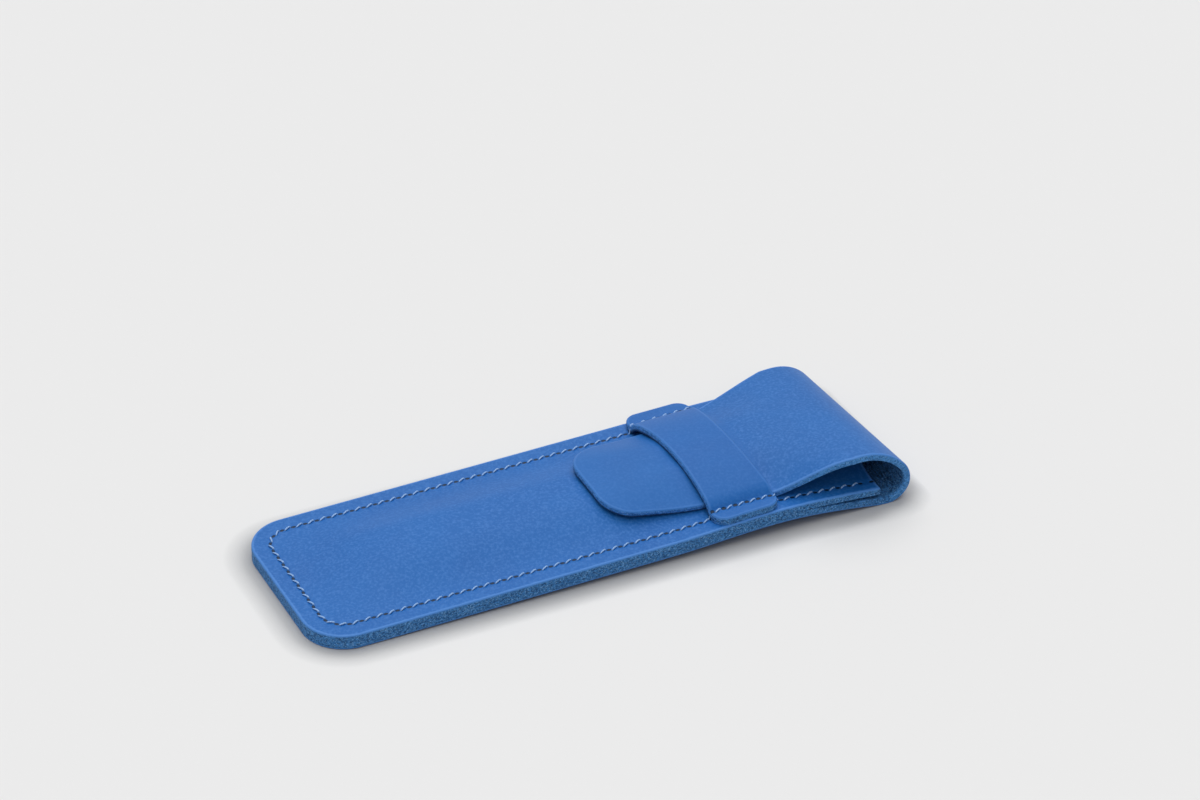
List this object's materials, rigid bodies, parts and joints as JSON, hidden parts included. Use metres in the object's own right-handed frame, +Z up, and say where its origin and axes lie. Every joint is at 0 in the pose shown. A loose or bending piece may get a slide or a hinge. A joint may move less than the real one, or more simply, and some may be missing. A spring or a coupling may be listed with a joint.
{
  "type": "leather pen case",
  "caption": "Flat stitched leather pen case with a fold-over flap whose tongue tucks under a keeper strap.",
  "frame": {"origin": "middle of the bounding box at its base, on the surface that the closed case lies on", "axes": "+X from the closed end of the pocket towards the fold, +Y across the case towards the far side, +Z up from the surface, away from the back panel"},
  "size_m": [0.1743, 0.0564, 0.0183],
  "materials": {
    "panel_leather": "satin, fine grain, burnished fibrous edges",
    "flap_leather": "satin, fine grain, slightly lighter where bent",
    "needle_thread": "waxed twisted thread, pale blue",
    "bobbin_thread": "waxed twisted thread, pale blue"
  },
  "bodies": {
    "case": {"back_panel": "panel_leather", "front_panel": "panel_leather", "keeper_strap": "panel_leather", "front_thread": "needle_thread", "back_thread": "bobbin_thread"},
    "fold_band_1": {"fold_1": "flap_leather"},
    "fold_band_2": {"fold_2": "flap_leather"},
    "fold_band_3": {"fold_3": "flap_leather"},
    "fold_band_4": {"fold_4": "flap_leather"},
    "fold_band_5": {"fold_5": "flap_leather"},
    "flap": {"flap_cover": "flap_leather", "flap_tongue": "flap_leather"}
  },
  "joints": [
    {"name": "fold_hinge_1", "type": "hinge", "parent": "case", "child": "fold_band_1", "pos_m": [0.0817, 0, 0.00021], "axis": [-0.0261, 0.9997, -0.0012], "range_deg": [0, 30]},
    {"name": "fold_hinge_2", "type": "hinge", "parent": "fold_band_1", "child": "fold_band_2", "pos_m": [0.08418, 0, 0.0017], "axis": [-0.0388, 0.9992, -0.0088], "range_deg": [0, 30]},
    {"name": "fold_hinge_3", "type": "hinge", "parent": "fold_band_2", "child": "fold_band_3", "pos_m": [0.08559, 0, 0.00424], "axis": [-0.0459, 0.9987, -0.0217], "range_deg": [0, 30]},
    {"name": "fold_hinge_4", "type": "hinge", "parent": "fold_band_3", "child": "fold_band_4", "pos_m": [0.08552, 0, 0.00729], "axis": [-0.0437, 0.9978, -0.0493], "range_deg": [0, 30]},
    {"name": "fold_hinge_5", "type": "hinge", "parent": "fold_band_4", "child": "fold_band_5", "pos_m": [0.08327, 0, 0.01068], "axis": [-0.0225, 0.9962, -0.0842], "range_deg": [0, 30]},
    {"name": "flap_hinge", "type": "hinge", "parent": "fold_band_5", "child": "flap", "pos_m": [0.07591, 0, 0.01476], "axis": [0.0152, 0.9944, -0.105], "range_deg": [0, 30], "deforming": ["flap_tongue"]}
  ]
}
